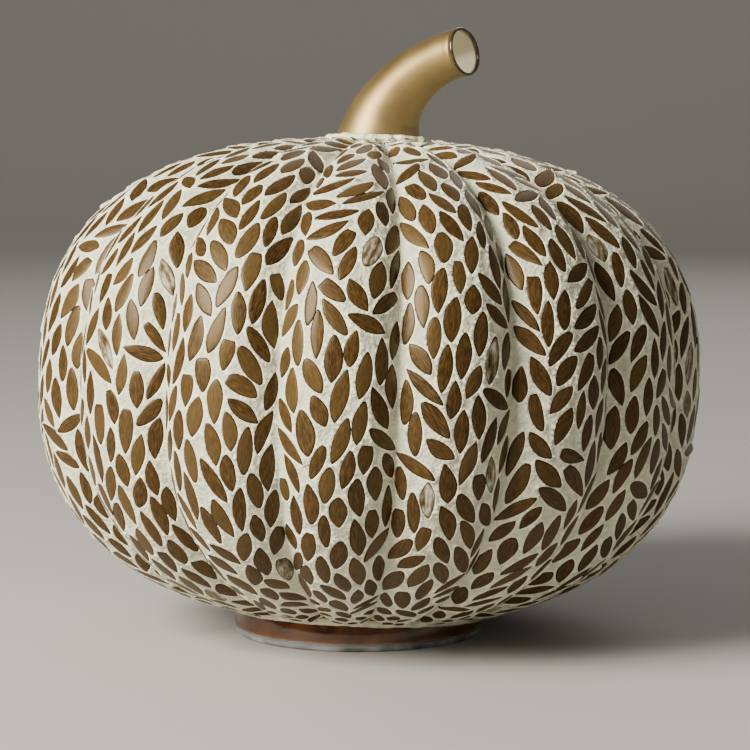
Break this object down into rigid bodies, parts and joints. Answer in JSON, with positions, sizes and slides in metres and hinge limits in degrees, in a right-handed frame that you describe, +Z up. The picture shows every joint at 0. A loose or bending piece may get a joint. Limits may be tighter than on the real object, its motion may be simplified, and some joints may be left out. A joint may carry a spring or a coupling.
{
  "type": "mosaic glass pumpkin",
  "caption": "Round lobed glass pumpkin covered with a leaf-shaped mosaic, with a bent hollow stem and a low round foot.",
  "frame": {"origin": "middle of the bounding box, on the plane the foot stands on", "axes": "+Z up; the front faces -Y; the stem bends towards +X and the front"},
  "size_m": [0.3022, 0.3042, 0.2776],
  "materials": {
    "amber_glass": "blown glass with an amber lustre lining, glossy",
    "leaf_tile": "hand-cut brown lustre glass leaves, softly glossy, finely streaked",
    "grout": "off-white sanded grout, matt and slightly uneven",
    "clear_glass": "clear glass with a ground edge",
    "adhesive": "clear setting adhesive, semi-gloss",
    "gold_glass": "gold-amber lustre glass, glossy with a soft sheen",
    "dark_glass": "dark brown fire-polished glass"
  },
  "bodies": {
    "root": {"glass_globe": "amber_glass", "mosaic_lobe_01": "leaf_tile", "mosaic_lobe_02": "leaf_tile", "mosaic_lobe_03": "leaf_tile", "mosaic_lobe_04": "leaf_tile", "mosaic_lobe_05": "leaf_tile", "mosaic_lobe_06": "leaf_tile", "mosaic_lobe_07": "leaf_tile", "mosaic_lobe_08": "leaf_tile", "mosaic_lobe_09": "leaf_tile", "mosaic_lobe_10": "leaf_tile", "mosaic_lobe_11": "leaf_tile", "mosaic_lobe_12": "leaf_tile", "mosaic_lobe_13": "leaf_tile", "mosaic_lobe_14": "leaf_tile", "mosaic_lobe_15": "leaf_tile", "mosaic_lobe_16": "leaf_tile", "foot_ring": "clear_glass", "hem_grout_bead": "grout", "stem_adhesive": "adhesive", "stem_grout_bead": "grout", "stem_tube": "gold_glass", "stem_lip_wrap": "dark_glass"}
  },
  "joints": []
}
